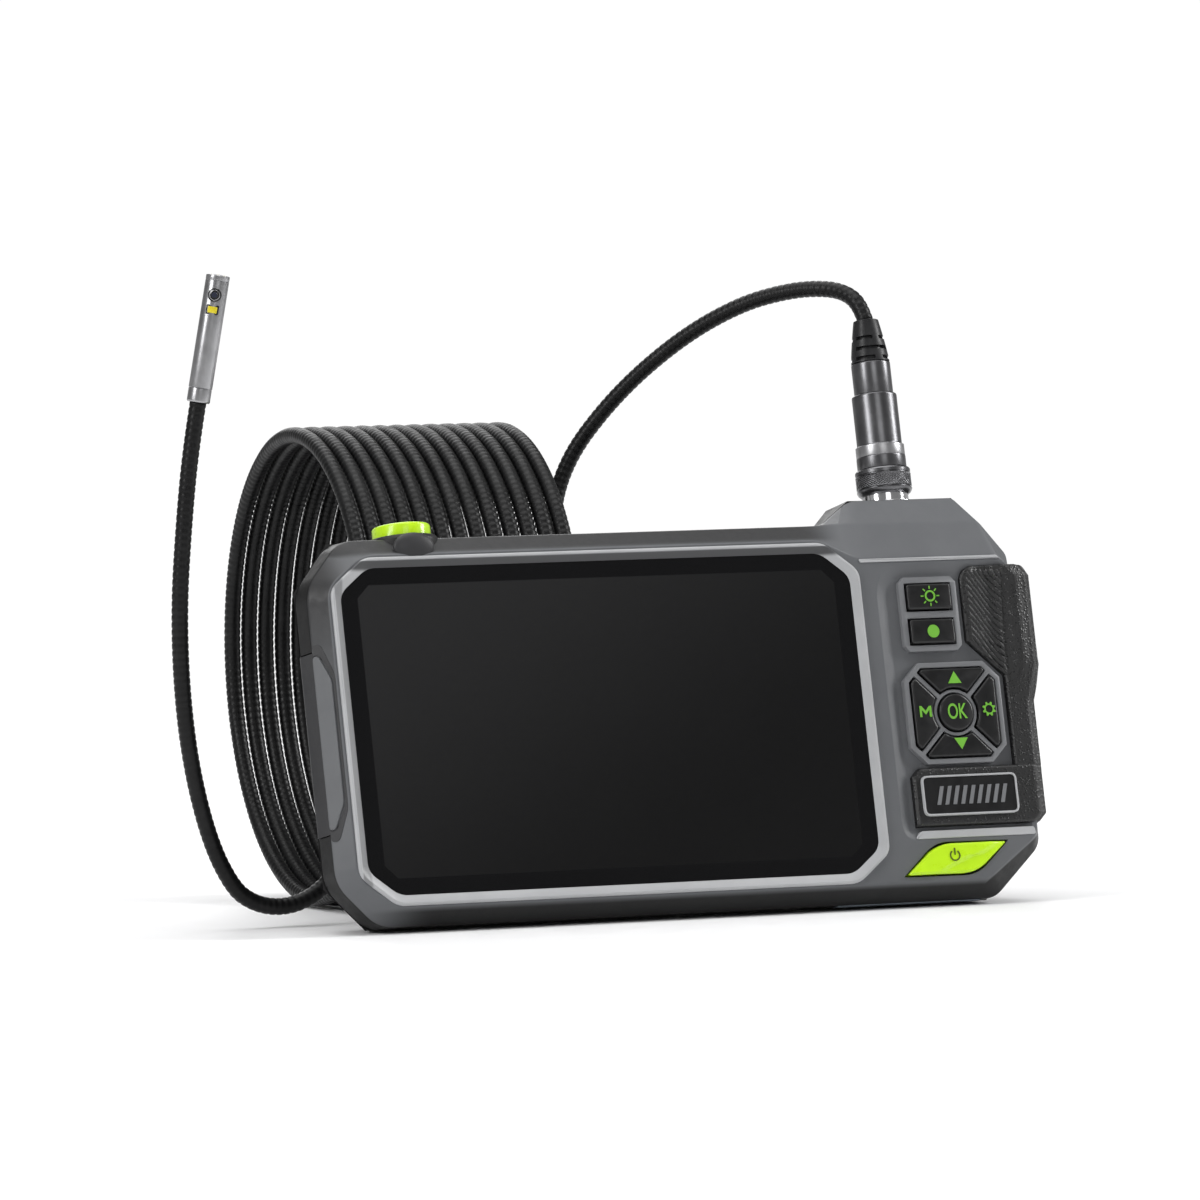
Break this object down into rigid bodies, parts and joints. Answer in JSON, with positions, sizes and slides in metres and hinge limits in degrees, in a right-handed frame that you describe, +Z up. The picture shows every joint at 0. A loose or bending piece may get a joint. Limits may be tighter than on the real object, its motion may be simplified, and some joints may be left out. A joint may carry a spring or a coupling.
{
  "type": "inspection camera",
  "caption": "Handheld inspection camera: display handset with keys and rubber grip, threaded cable plug, coiled semi-rigid probe cable and a slim two-lens camera head.",
  "frame": {"origin": "centre of the handset's box on the surface it stands on, without the cable and head", "axes": "+X to the right of the display, +Y to the back, +Z up; the handset leans back by 12 degrees on its raked underside"},
  "size_m": [0.1943, 0.1417, 0.1383],
  "materials": {
    "grey_casing": "satin moulded grey, fine spark texture",
    "dark_casing": "matt moulded charcoal",
    "seal_rubber": "matt",
    "inner_frame": "matt glass-filled",
    "screw_steel": "zinc-plated",
    "light_lip": "satin light grey",
    "black_glass": "polished, black-printed border",
    "display_panel": "unlit display",
    "circuit_board": "green solder mask",
    "chip_black": "matt",
    "cell_wrap": "shrink wrap",
    "contact_metal": "plated contacts",
    "key_black": "satin black",
    "lime_plastic": "semi-gloss lime",
    "grip_rubber": "soft-touch rubber, ribbed and grained",
    "trim_plastic": "satin blue-grey",
    "socket_chrome": "polished plate",
    "gunmetal": "black-nickel plate, glossy",
    "boot_rubber": "matt",
    "cable_black": "semi-gloss, finely ringed",
    "head_steel": "turned stainless steel",
    "window_black": "gloss black window",
    "lens_glass": "coated lens",
    "led_yellow": "phosphor"
  },
  "bodies": {
    "handset": {"backlight_unit": "inner_frame", "base_trim": "trim_plastic", "battery_cell": "cell_wrap", "battery_contacts": "contact_metal", "board_chips": "chip_black", "cable_coil": "cable_black", "cable_lead": "cable_black", "cable_tail": "cable_black", "card_slot": "contact_metal", "chassis": "inner_frame", "cover_glass": "black_glass", "dome_switches": "contact_metal", "front_shell": "grey_casing", "head_ferrule": "head_steel", "key_board": "circuit_board", "label_plate": "light_lip", "lcd_panel": "display_panel", "main_board": "circuit_board", "pad_frame": "light_lip", "pair_frame": "light_lip", "plug_barrel": "gunmetal", "plug_contacts": "contact_metal", "plug_sleeve": "gunmetal", "plug_socket": "socket_chrome", "port_panel": "key_black", "rear_shell": "dark_casing", "rubber_grip": "grip_rubber", "screen_bezel": "light_lip", "shell_gasket": "seal_rubber", "shell_screws": "screw_steel", "shutter_cup": "dark_casing", "shutter_switch": "chip_black", "socket_contacts": "contact_metal", "socket_nut": "socket_chrome", "strain_relief": "boot_rubber", "usb_socket": "contact_metal"},
    "light_key": {"light_key": "key_black"},
    "record_key": {"record_key": "key_black"},
    "up_key": {"up_key": "key_black"},
    "down_key": {"down_key": "key_black"},
    "menu_key": {"menu_key": "key_black"},
    "settings_key": {"settings_key": "key_black"},
    "ok_key": {"ok_key": "key_black"},
    "power_key": {"power_key": "lime_plastic"},
    "shutter_button": {"shutter_button": "lime_plastic"},
    "port_cover": {"port_cover": "grey_casing"},
    "coupling_ring": {"coupling_ring": "gunmetal"},
    "camera_head": {"head_barrel": "head_steel", "front_cap": "head_steel", "front_lens": "lens_glass", "front_leds": "led_yellow", "side_camera": "window_black", "side_lens": "lens_glass", "side_led": "led_yellow", "head_board": "circuit_board"}
  },
  "joints": [
    {"name": "light_press", "type": "slide", "parent": "handset", "child": "light_key", "axis": [0, 0.9781, -0.2079], "range_m": [0, 0.0006], "stiffness_N_per_m": 600},
    {"name": "record_press", "type": "slide", "parent": "handset", "child": "record_key", "axis": [0, 0.9781, -0.2079], "range_m": [0, 0.0006], "stiffness_N_per_m": 600},
    {"name": "up_press", "type": "slide", "parent": "handset", "child": "up_key", "axis": [0, 0.9781, -0.2079], "range_m": [0, 0.0006], "stiffness_N_per_m": 600},
    {"name": "down_press", "type": "slide", "parent": "handset", "child": "down_key", "axis": [0, 0.9781, -0.2079], "range_m": [0, 0.0006], "stiffness_N_per_m": 600},
    {"name": "menu_press", "type": "slide", "parent": "handset", "child": "menu_key", "axis": [0, 0.9781, -0.2079], "range_m": [0, 0.0006], "stiffness_N_per_m": 600},
    {"name": "settings_press", "type": "slide", "parent": "handset", "child": "settings_key", "axis": [0, 0.9781, -0.2079], "range_m": [0, 0.0006], "stiffness_N_per_m": 600},
    {"name": "ok_press", "type": "slide", "parent": "handset", "child": "ok_key", "axis": [0, 0.9781, -0.2079], "range_m": [0, 0.0006], "stiffness_N_per_m": 600},
    {"name": "power_press", "type": "slide", "parent": "handset", "child": "power_key", "axis": [0, 0.9781, -0.2079], "range_m": [0, 0.0006], "stiffness_N_per_m": 600},
    {"name": "shutter_press", "type": "slide", "parent": "handset", "child": "shutter_button", "axis": [0, -0.2079, -0.9781], "range_m": [0, 0.0012], "stiffness_N_per_m": 500},
    {"name": "cover_open", "type": "hinge", "parent": "handset", "child": "port_cover", "pos_m": [-0.0821, -0.00337, 0.03732], "axis": [0, -0.2079, -0.9781], "range_deg": [0, 100]},
    {"name": "ring_turn", "type": "hinge", "parent": "handset", "child": "coupling_ring", "pos_m": [0.0586, 0.00906, 0.08713], "axis": [0, 0.2079, 0.9781], "continuous": true},
    {"name": "head_turn", "type": "hinge", "parent": "handset", "child": "camera_head", "pos_m": [-0.1035, 0.0037, 0.1111], "axis": [0.1742, -0.041, 0.9839], "range_deg": [-180, 180]}
  ]
}
